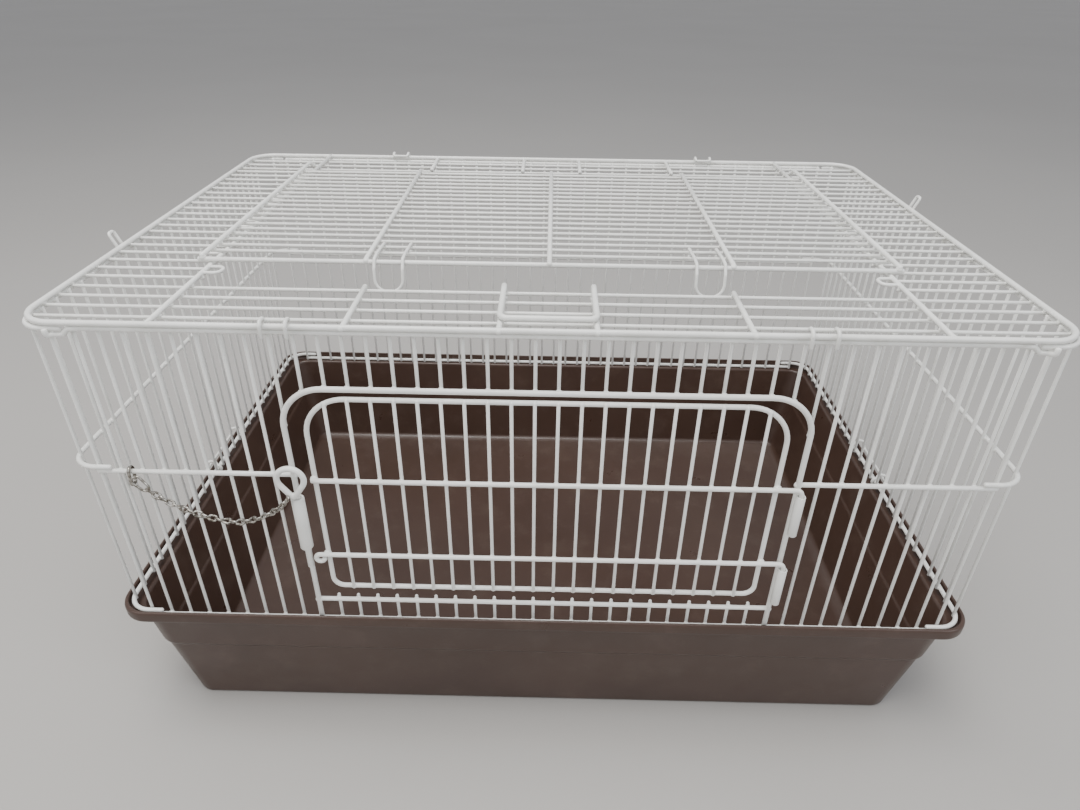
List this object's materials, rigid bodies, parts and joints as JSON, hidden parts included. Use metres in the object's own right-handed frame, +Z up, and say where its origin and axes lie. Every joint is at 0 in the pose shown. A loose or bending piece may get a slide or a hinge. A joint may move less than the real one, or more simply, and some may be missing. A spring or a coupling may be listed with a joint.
{
  "type": "rabbit cage",
  "caption": "Wire small-animal cage on a deep moulded plastic tray, with a hinged front door, a hinged top door, a chained slide latch and swinging wire clips.",
  "frame": {"origin": "centre of the tray's flat underside", "axes": "+X to the right along the long side seen from the front, +Y from the front door to the back, +Z up"},
  "size_m": [0.6556, 0.4375, 0.3605],
  "materials": {
    "tray_plastic": "satin moulded plastic, dark brown",
    "coated_wire": "off-white coated steel wire",
    "plated_steel": "nickel-plated steel chain"
  },
  "bodies": {
    "tray": {"tray": "tray_plastic"},
    "cage": {"front_grille_left": "coated_wire", "front_grille_right": "coated_wire", "front_rail_top": "coated_wire", "front_rail_bottom": "coated_wire", "front_arch": "coated_wire", "front_sill": "coated_wire", "back_grille": "coated_wire", "back_rail_top": "coated_wire", "back_rail_bottom": "coated_wire", "left_grille": "coated_wire", "left_rail_bottom": "coated_wire", "left_rail_top": "coated_wire", "right_grille": "coated_wire", "right_rail_bottom": "coated_wire", "right_rail_top": "coated_wire", "hinge_sleeve_lower": "coated_wire", "hinge_sleeve_upper": "coated_wire", "latch_barrel": "coated_wire", "chain": "plated_steel", "chain_anchor": "plated_steel", "top_frame": "coated_wire", "top_grille_left": "coated_wire", "top_grille_right": "coated_wire", "top_strip_front": "coated_wire", "top_strip_rear": "coated_wire", "top_rest_left": "coated_wire", "top_rest_right": "coated_wire"},
    "front_door": {"door_frame": "coated_wire", "door_grille": "coated_wire"},
    "latch": {"latch_pin": "coated_wire"},
    "top_door": {"top_door_frame": "coated_wire", "top_door_grille": "coated_wire"},
    "clip_left": {"top_clip_left": "coated_wire"},
    "clip_right": {"top_clip_right": "coated_wire"},
    "bail": {"bail": "coated_wire"},
    "clamp_left": {"clamp_left": "coated_wire"},
    "clamp_right": {"clamp_right": "coated_wire"},
    "hook_front_left": {"top_hook_front_left": "coated_wire"},
    "hook_front_right": {"top_hook_front_right": "coated_wire"},
    "hook_back_left": {"top_hook_back_left": "coated_wire"},
    "hook_back_right": {"top_hook_back_right": "coated_wire"},
    "hook_left": {"top_hook_left": "coated_wire"},
    "hook_right": {"top_hook_right": "coated_wire"}
  },
  "joints": [
    {"name": "cage_lift", "type": "slide", "parent": "tray", "child": "cage", "axis": [0, 0, 1], "range_m": [0, 0.25]},
    {"name": "front_door_hinge", "type": "hinge", "parent": "cage", "child": "front_door", "pos_m": [0.168, -0.2137, 0.2], "axis": [0, 0, 1], "range_deg": [0, 170]},
    {"name": "latch_slide", "type": "slide", "parent": "cage", "child": "latch", "axis": [0, 0, 1], "range_m": [0, 0.04]},
    {"name": "top_door_hinge", "type": "hinge", "parent": "cage", "child": "top_door", "pos_m": [0, 0.16217, 0.3481], "axis": [-1, 0, 0], "range_deg": [0, 105]},
    {"name": "clip_left_swing", "type": "hinge", "parent": "top_door", "child": "clip_left", "pos_m": [-0.111, -0.0807, 0.3545], "axis": [-1, 0, 0], "range_deg": [0, 100]},
    {"name": "clip_right_swing", "type": "hinge", "parent": "top_door", "child": "clip_right", "pos_m": [0.111, -0.0807, 0.3545], "axis": [-1, 0, 0], "range_deg": [0, 100]},
    {"name": "bail_swing", "type": "hinge", "parent": "cage", "child": "bail", "pos_m": [0, -0.14672, 0.3481], "axis": [-1, 0, 0], "range_deg": [0, 120]},
    {"name": "clamp_left_swing", "type": "hinge", "parent": "cage", "child": "clamp_left", "pos_m": [-0.3163, 0, 0.1115], "axis": [0, 1, 0], "range_deg": [0, 65]},
    {"name": "clamp_right_swing", "type": "hinge", "parent": "cage", "child": "clamp_right", "pos_m": [0.3163, 0, 0.1115], "axis": [0, -1, 0], "range_deg": [0, 65]},
    {"name": "hook_front_left_swing", "type": "hinge", "parent": "cage", "child": "hook_front_left", "pos_m": [-0.16, -0.2085, 0.3509], "axis": [-1, 0, 0], "range_deg": [0, 30]},
    {"name": "hook_front_right_swing", "type": "hinge", "parent": "cage", "child": "hook_front_right", "pos_m": [0.16, -0.2085, 0.3509], "axis": [-1, 0, 0], "range_deg": [0, 30]},
    {"name": "hook_back_left_swing", "type": "hinge", "parent": "cage", "child": "hook_back_left", "pos_m": [-0.16, 0.2085, 0.3509], "axis": [1, 0, 0], "range_deg": [0, 30]},
    {"name": "hook_back_right_swing", "type": "hinge", "parent": "cage", "child": "hook_back_right", "pos_m": [0.16, 0.2085, 0.3509], "axis": [1, 0, 0], "range_deg": [0, 30]},
    {"name": "hook_left_swing", "type": "hinge", "parent": "cage", "child": "hook_left", "pos_m": [-0.3163, -0.0725, 0.347], "axis": [0, -1, 0], "range_deg": [0, 80]},
    {"name": "hook_right_swing", "type": "hinge", "parent": "cage", "child": "hook_right", "pos_m": [0.3163, 0.058, 0.347], "axis": [0, 1, 0], "range_deg": [0, 80]}
  ]
}
